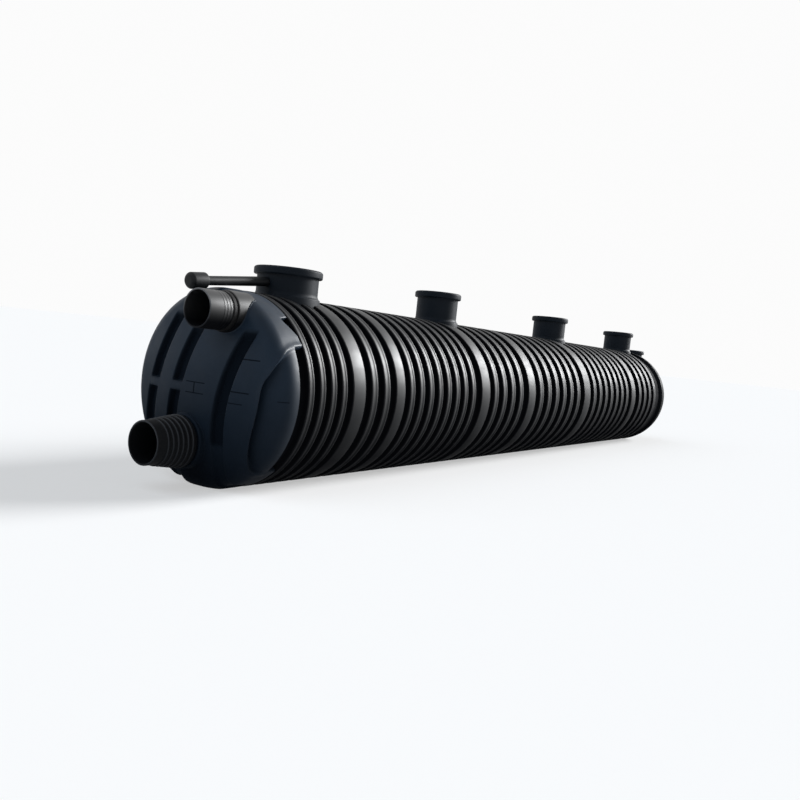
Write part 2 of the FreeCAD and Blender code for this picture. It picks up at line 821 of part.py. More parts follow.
# lower pipe: a wider stub whose rings grow towards its base collar
lower_bore = lower_radius - lower_wall
corners = [(0, lower_bore), (lower_length, lower_bore), (lower_length, lower_radius)]
rings_end = lip_length + ring_pitch * ring_count
corners.append((rings_end, lower_radius))
corners.append((rings_end, lower_radius + ring_growth * ring_count))
for i in reversed(range(int(ring_count.value))):
    at = lip_length + ring_pitch * i
    foot = lower_radius + ring_growth * i
    corners += [
        (at + ring_draft * 2 + ring_top, foot + ring_growth),
        (at + ring_draft + ring_top, foot + ring_rise),
        (at + ring_draft, foot + ring_rise),
        (at, foot),
    ]
corners.append((0, lower_radius))
lower_pipe = put(lathe("LowerPipe", corners), x=start - lower_reach, y=lower_offset, z=lower_z)
node("lower_pipe", lower_pipe)
base_reach = inlet_depth + base_stand
base_outside = lower_radius + base_run
base_form = lathe(
    "LowerBaseForm",
    [
        (0, lower_radius),
        (base_reach, lower_radius),
        (base_reach, base_outside),
        (0, base_outside),
    ],
)
put(base_form, x=start - base_reach, y=lower_offset, z=lower_z)
node("lower_base", cut("LowerBase", base_form, inlet_carved))

doc.recompute()
for item in doc.Objects:
    if "Invalid" in item.State or "Error" in item.State:
        raise RuntimeError(f"{item.Name}: {item.State}")
for name, item in nodes.items():
    if item.Shape.isNull() or not item.Shape.isValid() or not item.Shape.Solids:
        raise RuntimeError(f"{name} has no sound shape")
    item.Shape.exportStep(f"parts/{name}.step")
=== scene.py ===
import math

import bpy
import numpy as np
from mathutils import Matrix, Vector


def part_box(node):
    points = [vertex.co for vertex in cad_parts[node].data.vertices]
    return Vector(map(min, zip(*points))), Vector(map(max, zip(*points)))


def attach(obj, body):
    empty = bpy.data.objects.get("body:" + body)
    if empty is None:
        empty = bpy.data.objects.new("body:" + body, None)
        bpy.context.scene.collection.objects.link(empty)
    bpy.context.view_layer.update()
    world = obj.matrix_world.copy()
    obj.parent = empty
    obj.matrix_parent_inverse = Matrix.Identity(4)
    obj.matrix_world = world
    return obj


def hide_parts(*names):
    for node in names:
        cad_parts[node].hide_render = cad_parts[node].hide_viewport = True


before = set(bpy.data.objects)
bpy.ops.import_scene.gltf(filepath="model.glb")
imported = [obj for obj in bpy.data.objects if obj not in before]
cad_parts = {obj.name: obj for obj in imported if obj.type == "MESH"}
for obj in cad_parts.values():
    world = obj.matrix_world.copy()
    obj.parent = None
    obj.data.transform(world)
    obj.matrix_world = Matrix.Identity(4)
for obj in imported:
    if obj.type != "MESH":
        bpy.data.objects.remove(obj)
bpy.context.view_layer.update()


def mid(node):
    low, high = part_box(node)
    return (low + high) / 2


def span_x(node):
    low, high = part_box(node)
    return low.x, high.x


# main lengths of the tank in metres, from the CAD boxes where a box gives them
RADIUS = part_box("section_2_flanks")[1].y
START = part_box("section_1_crown")[0].x
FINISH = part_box("section_6_crown")[1].x
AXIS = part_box("section_2_crown")[1].z - RADIUS
RIB = 0.060
WALL = 0.025
ROOT = RADIUS - RIB
INNER = ROOT - WALL

# ribs: width as a share of the pitch, slope of the sides, roundings and the trough on top
RIB_SHARE = 0.43
RIB_DRAFT = 0.018
RIB_ROUND = 0.010
TROUGH = 0.005
TROUGH_ROUND = 0.004
TROUGH_EDGE, TROUGH_FLOOR = 0.30, 0.13

# wide rib place, wide rib width, first rib place, pitch and count of each ring section
SECTIONS = [
    (1.053, 0.223, 1.358, 0.258, 2),
    (0.160, 0.186, 0.433, 0.233, 8),
    (0.226, 0.249, 0.571, 0.297, 4),
    (0.242, 0.263, 0.635, 0.341, 6),
    (0.270, 0.307, 0.691, 0.335, 7),
    (0.248, 0.267, 0.746, 0.377, 4),
]
# ribs of the first section ahead of its wide rib
LEAD_AT, LEAD_PITCH, LEAD_COUNT = 0.198, 0.193, 4

# end domes: straight rim, dish radius, knuckle radius and outside radius
INLET = (0.150, RADIUS + 2.900, 0.180, RADIUS)
INLET_HOLLOW = (0.0, RADIUS + 3.300, 0.280, INNER)
OUTLET = (0.040, RADIUS + 0.220, RADIUS - 0.200, RADIUS)
OUTLET_HOLLOW = (0.040, OUTLET[1] - RIB - WALL, OUTLET[2] - RIB - WALL, INNER)

# grooves of the inlet dome: they lean and bend, and a strap crosses the far pair
LEAN = 0.23
BOW = 0.23
SHIFT = 0.070
GROOVE_NEAR = 0.275
GROOVE_WIDTH = 0.150
GROOVE_HEAD = RADIUS - 0.440
GROOVE_TOE = 0.530 - RADIUS
GROOVE_EDGE = 0.016
GROOVE_TOE_EDGE = 0.018
GROOVE_HEAD_FROM, GROOVE_HEAD_TO = -0.10, 0.02
OUTER_NEAR = 0.690
OUTER_HEAD = RADIUS - 0.310
OUTER_TOE = 0.650 - RADIUS
SHALLOW = 0.028
BAR_HALF = 0.0525
BAR_END = RADIUS - 0.310

# cheek recess of the near side: leaning line, arch seen from the side, bowl and raised border
CHEEK_NEAR = RADIUS - 0.226
CHEEK_LEAN = 0.16
CHEEK_EDGE = 0.018
CHEEK_DISH, CHEEK_POWER = 0.340, 3
ARCH_HEAD, ARCH_BACK, ARCH_REACH, ARCH_POWER = 0.550, 0.170, 0.515, 2.35
ARCH_BLEND = 0.06
LEAST_SLOPE = 0.3
LIP_RISE, LIP_AT, LIP_WIDE = 0.011, 0.022, 0.034

# shoulder of the inlet dome on the barrel, and its lifting slots in degrees off the top
SHOULDER = 0.147
SHOULDER_TOE = -2.316
SHOULDER_STEPS = 561
SHOULDER_ROLL = 0.022
SHOULDER_SLANT, SLANT_RUN = 0.021, 0.15
SLOT_FROM, SLOT_FULL, SLOT_TO, SLOT_TAPER = 39.0, 41.5, 53.0, 12
SLOT_REST = 0.012

# bore radius, tube wall and carrying ring section of each neck on the barrel
NECKS = {1: (0.350, 0.016, 1), 2: (0.300, 0.015, 3), 3: (0.300, 0.015, 5), 4: (0.300, 0.015, 6)}
NECK_IN = {section: k for k, (_, _, section) in NECKS.items()}
LAST_BORE, LAST_WALL = 0.300, 0.015
FOOT_RUN, FOOT_RISE = 0.032, 0.055
FOOT_SINK = 0.012
FOOT_FIRST, FOOT_STEPS = 0.12, 8
DOME_FOOT_LIFT = 0.010
BEAD_OUT, BEAD_CREST = 0.042, 0.022
NECK_GAP = 0.0005

# the two pipes, and the rings on the lower one
UPPER_R, UPPER_WALL = 0.200, 0.018
LOWER_R, LOWER_WALL = 0.235, 0.022
SOCKET_R = UPPER_R + 0.022
BASE_R = LOWER_R + 0.062
PIPE_GAP = 0.0004
PIPE_SINK = 0.004
WELD_STAND = 0.001
STOP_COUNT, STOP_PITCH, STOP_BACK = 3, 0.042, 0.020
STOP_WIDTH, STOP_SLOPE, STOP_RISE = 0.022, 0.006, 0.0025
RING_AT, RING_PITCH, RING_COUNT, RING_GROWTH = 0.120, 0.058, 6, 0.008
upper = mid("upper_pipe")
lower = mid("lower_pipe")
UPPER_MOUTH = span_x("upper_pipe")[0]
LOWER_MOUTH = span_x("lower_pipe")[0]
RINGS = [LOWER_MOUTH + RING_AT + RING_PITCH * i for i in range(RING_COUNT)]

# vent branch, which falls from the first neck towards the inlet end, and its cap
VENT_RISE = 0.186
VENT_FALL = math.radians(6.5)
VENT_ROOT, VENT_R, VENT_WALL = 0.058, 0.050, 0.006
VENT_START = 0.345
CAP_FROM = mid("neck_1_collar").x - START + 0.415
CAP_TO = CAP_FROM + 0.235
CAP_R, CAP_BACK_R, CAP_FRONT_R = 0.088, 0.072, 0.056
CAP_GAP = 0.0005
VENT_END = CAP_FROM + 0.150

# fineness of the meshes
SHARP, DOME_SHARP = 35, 50
COLUMNS, BARREL_COLUMNS, VENT_COLUMNS = 128, 168, 64
INLET_ROWS, INLET_COLUMNS = 132, 600
OUTLET_ROWS = 72
HOLLOW_ROWS = 12
CUT_COLUMNS, CUT_RINGS = 96, 14
FINE_ROWS = 3000
DOME_TOP_ROWS = 800
WELD_POINTS, WELD_SIDES = 240, 10

# turned profiles and domes stop this far from their axis, so that no face collapses
ON_AXIS = 0.001
POLE_GAP = 0.004
# largest share of an edge that a rounding takes
MOST_ROUND = 0.48

# cutters of the necks: middle hole, height above the barrel, gap to the wall, lowest places
CUT_MIDDLE, CUT_ABOVE, CUT_GAP = 0.02, 0.3, 0.001
WAY_FLOOR, LAST_WAY_FLOOR = AXIS + 0.5, AXIS + 0.2


def make(name, verts, faces, material, sharp=SHARP):
    mesh = bpy.data.meshes.new(name)
    mesh.from_pydata([tuple(v) for v in verts], [], [tuple(f) for f in faces])
    mesh.validate()
    mesh.update()
    mesh.shade_smooth()
    mesh.set_sharp_from_angle(angle=math.radians(sharp))
    obj = bpy.data.objects.new(name, mesh)
    bpy.context.scene.collection.objects.link(obj)
    obj.data.materials.append(material)
    return obj


def grid_faces(rows, columns, close_rows):
    """Quads of a grid whose columns go round; rows may close into a loop too."""
    i = np.arange(rows if close_rows else rows - 1)[:, None]
    j = np.arange(columns)[None, :]
    after = (j + 1) % columns
    up = ((i + 1) % rows) * columns
    return np.stack([i * columns + j, i * columns + after, up + after, up + j], -1).reshape(-1, 4)


def capped_faces(rows, columns):
    """Quads of a grid whose columns go round, closed by a face at each end."""
    faces = [tuple(f) for f in grid_faces(rows, columns, False)]
    faces.append(tuple(reversed(range(columns))))
    faces.append(tuple(range((rows - 1) * columns, rows * columns)))
    return faces


def around(count):
    return np.linspace(0, 2 * math.pi, count, endpoint=False)


def turn(name, profile, material, axis="X", at=(0, 0, 0), columns=COLUMNS):
    """Turns a closed profile of (along, radius) pairs about an axis through a point."""
    p = np.array(profile, float)
    t = around(columns)
    along = np.repeat(p[:, :1], columns, 1)
    side = p[:, 1:] * np.cos(t)
    rise = p[:, 1:] * np.sin(t)
    xyz = [along, -side, rise] if axis == "X" else [side, rise, along]
    verts = np.stack(xyz, -1).reshape(-1, 3) + np.array(at)
    return make(name, verts, grid_faces(len(p), columns, True), material)


def soften(points, amount, steps=3, closed=True):
    """Rounds the corners of an outline; amount is one radius or one for each corner."""
    points = [Vector(p) for p in points]
    count = len(points)
    radii = amount if isinstance(amount, list) else [amount] * count
    out = []
    for i, p in enumerate(points):
        if radii[i] <= 0 or (not closed and i in (0, count - 1)):
            out.append(tuple(p))
            continue
        a = points[i - 1] - p
        b = points[(i + 1) % count] - p
        most = MOST_ROUND * min(a.length, b.length)
        reach = min(radii[i] / math.tan(a.angle(b) / 2), most)
        p0 = p + a.normalized() * reach
        p1 = p + b.normalized() * reach
        for t in np.linspace(0, 1, steps + 1):
            out.append(tuple(p0 * (1 - t) ** 2 + p * 2 * t * (1 - t) + p1 * t**2))
    return out


def carve(obj, *cutters):
    """Cuts solids out of a piece and removes them."""
    for cutter in cutters:
        cutting = obj.modifiers.new("Cut", "BOOLEAN")
        cutting.operation = "DIFFERENCE"
        cutting.solver = "EXACT"
        cutting.object = cutter
        bpy.context.view_layer.update()
        graph = bpy.context.evaluated_depsgraph_get()
        shape = bpy.data.meshes.new_from_object(obj.evaluated_get(graph))
        obj.modifiers.clear()
        obj.data = shape
        shape.shade_smooth()
        shape.set_sharp_from_angle(angle=math.radians(SHARP))
        bpy.data.objects.remove(cutter)


def settle(obj, slot, *nodes):
    """The piece rides on the tank and stands for CAD nodes, which it hides; slot is not used."""
    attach(obj, "root")
    if nodes:
        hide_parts(*nodes)


def smooth(edge0, edge1, x):
    t = np.clip((x - edge0) / (edge1 - edge0), 0, 1)
    return t * t * (3 - 2 * t)


def band(low, high, soft, x):
    return smooth(low - soft, low + soft, x) * (1 - smooth(high - soft, high + soft, x))


# tones that the plastics share: dust, rubbed edges, painted highlight lines and painted shade
DUST = (0.018, 0.019, 0.021)
RUBBED = (0.030, 0.032, 0.036)
PAINTED_HIGHLIGHT = (0.056, 0.060, 0.068)
PAINTED_SHADE_TONE = (0.0018, 0.0021, 0.0031)

# share left unshaded, where darker colour and less shine are painted as shade: near the ground, in
# a groove and at the barrel's far end
GROUND_UNSHADED, GROOVE_UNSHADED, FAR_UNSHADED = 0.03, 0.10, 0.55
# depth below a rib's top at which the painted shade between the ribs is full, and at which it
# starts
RIB_SHADE_FULL, RIB_SHADE_START = 0.016, 0.005
# how far the painted shade of a groove spreads past its two sides, and its soft edges
GROOVE_SPREAD_LOW, GROOVE_SPREAD_HIGH = 0.002, 0.016
GROOVE_SIDE_SOFT, GROOVE_END_SOFT = 0.014, 0.03
# painted shade where it is full: share of its dark tone, specular level and added roughness
PAINTED_SHADE_MOST, PAINTED_SHADE_SHINE, PAINTED_SHADE_ROUGH = 0.8, 0.02, 0.3
# scale and detail of the noises: tone, dust, smears (stretched along the tank), grain, waves
MOTTLE, PATCHES, GRAIN, WAVES = (2.3, 5), (7, 8), (140, 3), (2.6, 2)
SMEAR = (3.1, 6, (0.5, 1.6, 1.6))
# most that dust and rubbing show
DUST_MOST, RUBBED_MOST = 0.5, 0.3
# stretch of the inlet dome's rim, before the barrel, over which the shine rises
RIM_FROM, RIM_TO = 0.16, 0.02


class Graph:
    """Short ways to add nodes to a material's tree."""

    def __init__(self, tree):
        self.new = tree.nodes.new
        self.link = tree.links.new
        self.place = self.new("ShaderNodeTexCoord").outputs["Object"]
        self.spot = self.separate(self.place)
        self.height = self.math("SUBTRACT", self.spot["Z"], AXIS)

    def separate(self, vector):
        n = self.new("ShaderNodeSeparateXYZ")
        self.link(vector, n.inputs["Vector"])
        return n.outputs

    def math(self, operation, a, b):
        n = self.new("ShaderNodeMath")
        n.operation = operation
        self.link(a, n.inputs[0])
        if isinstance(b, float):
            n.inputs[1].default_value = b
        else:
            self.link(b, n.inputs[1])
        return n.outputs["Value"]

    def times(self, a, b):
        return self.math("MULTIPLY", a, b)

    def noise(self, scale, detail, stretch=(1, 1, 1)):
        mapping = self.new("ShaderNodeMapping")
        mapping.inputs["Scale"].default_value = stretch
        self.link(self.place, mapping.inputs["Vector"])
        n = self.new("ShaderNodeTexNoise")
        n.inputs["Scale"].default_value = scale
        n.inputs["Detail"].default_value = detail
        n.inputs["Roughness"].default_value = 0.6
        self.link(mapping.outputs["Vector"], n.inputs["Vector"])
        return n.outputs["Fac"]

    def ramp(self, value, low, high, out_low, out_high):
        n = self.new("ShaderNodeMapRange")
        sockets = ("From Min", "From Max", "To Min", "To Max")
        for socket, number in zip(sockets, (low, high, out_low, out_high)):
            n.inputs[socket].default_value = number
        self.link(value, n.inputs["Value"])
        return n.outputs["Result"]

    def mix(self, factor, a, b):
        """A socket or colour a that turns into the colour b."""
        n = self.new("ShaderNodeMix")
        n.data_type = "RGBA"
        self.link(factor, n.inputs["Factor"])
        first, second = [s for s in n.inputs if s.type == "RGBA"]
        if isinstance(a, tuple):
            first.default_value = (*a, 1)
        else:
            self.link(a, first)
        second.default_value = (*b, 1)
        return [s for s in n.outputs if s.type == "RGBA"][0]

    def slab(self, value, low, high, soft=0.002):
        """1 between two places, 0 outside."""
        away = self.math("ABSOLUTE", self.math("SUBTRACT", value, (low + high) / 2), 0.0)
        half = (high - low) / 2
        return self.ramp(away, half - soft, half + soft, 1, 0)

    def away_from(self, y, z):
        """Distance from a line along the tank at y and z from its axis."""
        aside = self.math("POWER", self.math("SUBTRACT", self.spot["Y"], y), 2.0)
        above = self.math("POWER", self.math("SUBTRACT", self.height, z), 2.0)
        return self.math("POWER", self.math("ADD", aside, above), 0.5)

    def bump(self, height, strength, distance):
        n = self.new("ShaderNodeBump")
        n.inputs["Strength"].default_value = strength
        n.inputs["Distance"].default_value = distance
        self.link(height, n.inputs["Height"])
        return n


def left_unshaded(g, shade, ribbed, grooves, seams):
    """Share left unshaded: less where shade is painted near the ground, between ribs, in grooves
    and at the far end.
    """
    # painted shade towards the ground, then between the ribs and towards the barrel's far end
    share = g.ramp(g.height, *shade, GROUND_UNSHADED, 1)
    if ribbed:
        off_axis = g.away_from(0.0, 0.0)
        share = g.times(
            share, g.ramp(off_axis, RADIUS - RIB_SHADE_FULL, RADIUS - RIB_SHADE_START, 0, 1)
        )
        share = g.times(share, g.ramp(g.spot["X"], START, FINISH, 1, FAR_UNSHADED))
    # painted shade over the grooves of the inlet dome
    if grooves:
        lean = g.times(g.height, LEAN)
        bend = g.times(g.math("POWER", g.height, 2.0), BOW / RADIUS)
        across = g.math("ADD", g.math("ADD", g.spot["Y"], SHIFT), g.math("ADD", lean, bend))
        for low, high, toe, head in grooves:
            sides = low - GROOVE_SPREAD_LOW, high + GROOVE_SPREAD_HIGH
            width = g.slab(across, *sides, GROOVE_SIDE_SOFT)
            inside = g.times(width, g.slab(g.height, toe, head, GROOVE_END_SOFT))
            share = g.times(share, g.ramp(inside, 0, 1, 1, GROOVE_UNSHADED))
    for y0, y1, z0, z1 in seams:
        line = g.times(g.slab(g.spot["Y"], y0, y1), g.slab(g.height, z0, z1))
        share = g.times(share, g.ramp(line, 0, 1, 1, 0))
    return share


def plastic(
    name,
    colour,
    pale,
    rough,
    shine,
    grain=1.0,
    waves=0.5,
    shade=(-0.9, 0.4),
    ribbed=False,
    grooves=(),
    seams=(),
    rim=1.0,
    painted_highlights=None,
):
    """Moulded black polyethylene: mottled tone, dust on upward faces, rubbed edges, fine grain.

    Painted shade darkens the colour and dulls the shine in recesses and near the ground,
    which shade gives by two heights from the axis. For a pipe, its middle, its bore and the
    stretches along x that carry painted highlight lines may be given. rim is how much more the
    inlet dome's rim shines than its face.
    """
    material = bpy.data.materials.new(name)
    material.use_nodes = True
    g = Graph(material.node_tree)
    shader = material.node_tree.nodes["Principled BSDF"].inputs
    shader["IOR"].default_value = 1.5
    unshaded = left_unshaded(g, shade, ribbed, grooves, seams)

    geometry = g.new("ShaderNodeNewGeometry").outputs
    tone = g.mix(g.ramp(g.noise(*MOTTLE), 0.35, 0.7, 0, 1), colour, pale)
    upward = g.ramp(g.separate(geometry["Normal"])["Z"], 0.35, 1.0, 0, DUST_MOST)
    patches = g.ramp(g.noise(*PATCHES), 0.4, 0.75, 0, 1)
    tone = g.mix(g.times(upward, patches), tone, DUST)
    tone = g.mix(g.ramp(geometry["Pointiness"], 0.53, 0.62, 0, RUBBED_MOST), tone, RUBBED)
    # painted highlight: lines painted bright round a pipe's mouth and ring crests
    if painted_highlights:
        centre, bore, highlight_stretches = painted_highlights
        off_pipe = g.away_from(centre.y, centre.z - AXIS)
        outside = g.ramp(off_pipe, bore + 0.002, bore + 0.006, 0, 1)
        for x0, x1 in highlight_stretches:
            tone = g.mix(g.times(outside, g.slab(g.spot["X"], x0, x1)), tone, PAINTED_HIGHLIGHT)
    # painted shade: the colour turns near black where shade is painted
    tone = g.mix(g.ramp(unshaded, 0, 1, PAINTED_SHADE_MOST, 0), tone, PAINTED_SHADE_TONE)
    g.link(tone, shader["Base Color"])

    # painted shade also takes shine away here, and adds roughness below
    gloss = g.ramp(unshaded, 0, 1, PAINTED_SHADE_SHINE, shine)
    if rim != 1:
        gloss = g.times(gloss, g.ramp(g.spot["X"], START - RIM_FROM, START - RIM_TO, 1, rim))
    shader["Specular IOR Level"].default_value = shine
    g.link(gloss, shader["Specular IOR Level"])
    smear = g.ramp(g.noise(*SMEAR), 0.3, 0.75, rough - 0.06, rough + 0.08)
    dull = g.ramp(unshaded, 0, 1, PAINTED_SHADE_ROUGH, 0)
    g.link(g.math("ADD", smear, dull), shader["Roughness"])

    fine = g.bump(g.noise(*GRAIN), 0.10 * grain, 0.002)
    wavy = g.bump(g.noise(*WAVES), 0.35 * waves, 0.02)
    g.link(fine.outputs["Normal"], wavy.inputs["Normal"])
    g.link(wavy.outputs["Normal"], shader["Normal"])
    return material


# the dome's grooves, which get painted shade, and fine joints drawn as dark lines: the strap's end
# and short lines beside the near groove
GROOVE_FAR = GROOVE_NEAR + GROOVE_WIDTH
OUTER_FAR = OUTER_NEAR + GROOVE_WIDTH
DOME_GROOVES = [
    (-GROOVE_FAR, -GROOVE_NEAR, GROOVE_TOE, GROOVE_HEAD),
    (GROOVE_NEAR, GROOVE_FAR, BAR_HALF, GROOVE_HEAD),
    (GROOVE_NEAR, GROOVE_FAR, GROOVE_TOE, -BAR_HALF),
    (OUTER_NEAR, OUTER_FAR, BAR_HALF, OUTER_HEAD),
    (OUTER_NEAR, OUTER_FAR, OUTER_TOE, -BAR_HALF),
]
DOME_SEAMS = [
    (-0.014, 0.002, -0.048, 0.062),
    (-0.160, 0.120, 0.059, 0.069),
    (-0.150, 0.120, -0.056, -0.046),
    (-0.824, -0.592, 0.362, 0.374),
    (-0.740, -0.492, 0.016, 0.028),
    (-0.668, -0.496, -0.104, -0.094),
    (-1.080, -0.994, -0.030, -0.022),
]
# painted shade on the upper pipe's lower half, between these two heights
UPPER_SHADE = (upper.z - AXIS - 0.12, upper.z - AXIS + 0.12)

# painted shade between the ribs, towards the ground and towards the barrel's far end
BARREL = plastic(
    "BarrelPE",
    (0.0030, 0.0036, 0.0046),
    (0.0048, 0.0056, 0.0070),
    rough=0.45,
    shine=0.27,
    shade=(-0.74, 0.4),
    ribbed=True,
)
END = plastic(
    "EndPE", (0.0034, 0.0042, 0.0054), (0.0054, 0.0064, 0.0080), rough=0.66, shine=0.08
)
# painted shade in the dome's grooves and towards the ground, and dark joint lines
DOME = plastic(
    "DomePE",
    (0.0080, 0.0160, 0.0280),
    (0.0106, 0.0198, 0.0335),
    rough=0.48,
    shine=0.15,
    waves=0.8,
    grooves=DOME_GROOVES,
    seams=DOME_SEAMS,
    rim=2.0,
)
NECK = plastic(
    "NeckPE", (0.0036, 0.0064, 0.0104), (0.0052, 0.0086, 0.0134), rough=0.52, shine=0.10
)
# painted shade on the lower half, and a painted highlight line at the mouth
PIPE = plastic(
    "PipePE",
    (0.0030, 0.0034, 0.0040),
    (0.0050, 0.0055, 0.0062),
    rough=0.44,
    shine=0.72,
    grain=0.6,
    waves=0.3,
    shade=UPPER_SHADE,
    painted_highlights=(upper, UPPER_R - UPPER_WALL, [(UPPER_MOUTH - 0.002, UPPER_MOUTH + 0.005)]),
)
# painted highlight lines on the lower pipe's mouth and ring crests
STUB = plastic(
    "StubPE",
    (0.0022, 0.0027, 0.0034),
    (0.0034, 0.0040, 0.0050),
    rough=0.44,
    shine=0.36,
    grain=0.6,
    waves=0.3,
    painted_highlights=(
        lower,
        LOWER_R - LOWER_WALL,
        [(x + 0.004, x + 0.012) for x in [LOWER_MOUTH - 0.007] + RINGS],
    ),
)
VENT = plastic(
    "VentPE",
    (0.0024, 0.0031, 0.0042),
    (0.0038, 0.0048, 0.0062),
    rough=0.50,
    shine=0.20,
    grain=0.6,
    waves=0.3,
)
RUBBER = plastic(
    "SealRubber",
    (0.002, 0.002, 0.0022),
    (0.0035, 0.0035, 0.004),
    rough=0.62,
    shine=0.2,
    grain=1.5,
    waves=0.2,
)


def rib_points(middle, width, dip):
    """A rib's outline with its corner roundings; narrow ribs have a shallow trough on top."""
    half = width / 2
    points = [(middle - half - RIB_DRAFT, ROOT), (middle - half, RADIUS)]
    radii = [RIB_ROUND, RIB_ROUND]
    if dip:
        for part, depth in (
            (-TROUGH_EDGE, 0),
            (-TROUGH_FLOOR, dip),
            (TROUGH_FLOOR, dip),
            (TROUGH_EDGE, 0),
        ):
            points.append((middle + part * width, RADIUS - depth))
            radii.append(TROUGH_ROUND)
    points += [(middle + half, RADIUS), (middle + half + RIB_DRAFT, ROOT)]
    return points, radii + [RIB_ROUND, RIB_ROUND]


def ring_profile(k):
    """Start and closed outline of a ring section: ribs outside, smooth inside."""
    wide_at, wide, first, pitch, count = SECTIONS[k - 1]
    start, end = span_x(f"section_{k}_crown")
    ribs = [(wide_at, wide, 0.0)]
    ribs += [(first + pitch * i, pitch * RIB_SHARE, TROUGH) for i in range(count)]
    if k == 1:
        lead_width = LEAD_PITCH * RIB_SHARE
        ribs += [(LEAD_AT + LEAD_PITCH * i, lead_width, TROUGH) for i in range(LEAD_COUNT)]
    outer = [(0.0, ROOT)]
    radii = [0.0]
    for rib in sorted(ribs):
        points, rounds = rib_points(*rib)
        outer += points
        radii += rounds
    length = end - start
    outer.append((length, ROOT))
    outer = soften(outer, radii + [0.0], closed=False)
    return start, outer + [(length, INNER), (length * 0.5, INNER), (0.0, INNER)]


def flat_foot(obj):
    """The underside is flat where the tank lies on the floor."""
    co = np.empty(len(obj.data.vertices) * 3, np.float32)
    obj.data.vertices.foreach_get("co", co)
    co[2::3] = np.maximum(co[2::3], 0.0)
    obj.data.vertices.foreach_set("co", co)
    obj.data.update()
    return obj


def disc_cutter(name, x, rad, floor):
    """An upright cutter whose underside follows floor(x, y)."""
    t = around(CUT_COLUMNS)
    rows = []
    for part in np.linspace(CUT_MIDDLE, 1, CUT_RINGS):
        px = x + rad * part * np.cos(t)
        py = rad * part * np.sin(t)
        rows.append(np.stack([px, py, floor(px, py)], -1))
    top = np.full(CUT_COLUMNS, AXIS + RADIUS + CUT_ABOVE)
    rows.append(np.stack([x + rad * np.cos(t), rad * np.sin(t), top], -1))
    return make(name, np.concatenate(rows), capped_faces(len(rows), CUT_COLUMNS), BARREL)


def wall_top(extra):
    """Height of the barrel's wall at x and y."""
    return lambda x, y: AXIS + np.sqrt((ROOT + extra) ** 2 - y**2)


def level(height):
    """The same height at every x and y."""
    return lambda x, y: np.full_like(x, height)


for k in range(1, len(SECTIONS) + 1):
    x0, profile = ring_profile(k)
    ring = turn(f"barrel_ring_{k}", profile, BARREL, "X", (x0, 0, AXIS), BARREL_COLUMNS)
    flat_foot(ring)
    if k in NECK_IN:
        bore, thick, _ = NECKS[NECK_IN[k]]
        x = mid(f"neck_{NECK_IN[k]}_collar").x
        carve(
            ring,
            disc_cutter("Room", x, bore + thick + FOOT_RUN, wall_top(CUT_GAP)),
            disc_cutter("Way", x, bore, level(WAY_FLOOR)),
        )
    settle(ring, "shell_pe", f"section_{k}_crown", f"section_{k}_flanks", f"section_{k}_invert")


def dish_rows(shape, steps):
    """Points and normals (out, off the axis) of a dished end, from the pole to the rim plane."""
    skirt, dish, knuckle, rim = shape
    lift = rim - knuckle
    bend = math.asin(lift / (dish - knuckle))
    back = math.sqrt((dish - knuckle) ** 2 - lift**2)
    runs = np.cumsum([dish * bend, knuckle * (math.pi / 2 - bend), skirt])
    at = np.linspace(POLE_GAP, runs[2], steps)
    angle = np.where(at < runs[0], at / dish, bend + (at - runs[0]) / knuckle)
    angle = np.minimum(angle, math.pi / 2)
    out = np.where(at < runs[0], dish * np.cos(angle) - back, knuckle * np.cos(angle))
    off = np.where(at < runs[0], dish * np.sin(angle), lift + knuckle * np.sin(angle))
    out = skirt + out - np.maximum(at - runs[1], 0)
    return out, off, np.cos(angle), np.sin(angle)


def groove_depth(y, z):
    """How deep the moulded grooves lie below the dome's face."""
    across = y + SHIFT + LEAN * z + BOW * z * z / RADIUS
    strap = band(-BAR_HALF, BAR_HALF, 0.005, z) * band(0.0, BAR_END, 0.02, y)
    total = np.zeros_like(y)
    for low, high, toe, head, keep in (
        (-GROOVE_FAR, -GROOVE_NEAR, GROOVE_TOE, GROOVE_HEAD, 0),
        (GROOVE_NEAR, GROOVE_FAR, GROOVE_TOE, GROOVE_HEAD, strap),
        (OUTER_NEAR, OUTER_FAR, OUTER_TOE, OUTER_HEAD, strap),
    ):
        deepens = smooth(toe - GROOVE_TOE_EDGE, toe + GROOVE_TOE_EDGE, z)
        runs_out = smooth(head + GROOVE_HEAD_FROM, head + GROOVE_HEAD_TO, z)
        depth = (SHALLOW + (RIB - SHALLOW) * deepens) * (1 - runs_out)
        total = total + depth * band(low, high, GROOVE_EDGE, across) * (1 - keep)
    return total


def cheek_distance(out, off, out_dir, off_dir, t):
    """Distance from the border of the near side's cheek recess, less than 0 inside it.

    Seen from the side the border is an arch, and on the dome's face it is a leaning line.
    """
    y = off * np.cos(t)
    z = off * np.sin(t)
    along = (out + ARCH_BACK) / ARCH_REACH
    above = np.maximum(z, 0) / ARCH_HEAD
    size = (along**ARCH_POWER + above**ARCH_POWER) ** (1 / ARCH_POWER)
    by_out = (along / size) ** (ARCH_POWER - 1) / ARCH_REACH
    by_z = (above / size) ** (ARCH_POWER - 1) / ARCH_HEAD
    slope = np.hypot(by_z * out_dir * np.sin(t) - by_out * off_dir, by_z * np.cos(t))
    arch = (size - 1) / np.maximum(slope, LEAST_SLOPE)
    line = CHEEK_NEAR + y + CHEEK_LEAN * z
    near = np.maximum(ARCH_BLEND - np.abs(line - arch), 0) / ARCH_BLEND
    return np.maximum(line, arch) + ARCH_BLEND / 4 * near**2


def lip(away):
    """Height of the raised border around the cheek recess, by the distance from its edge."""
    return LIP_RISE * np.exp(-(((away - LIP_AT) / LIP_WIDE) ** 2))


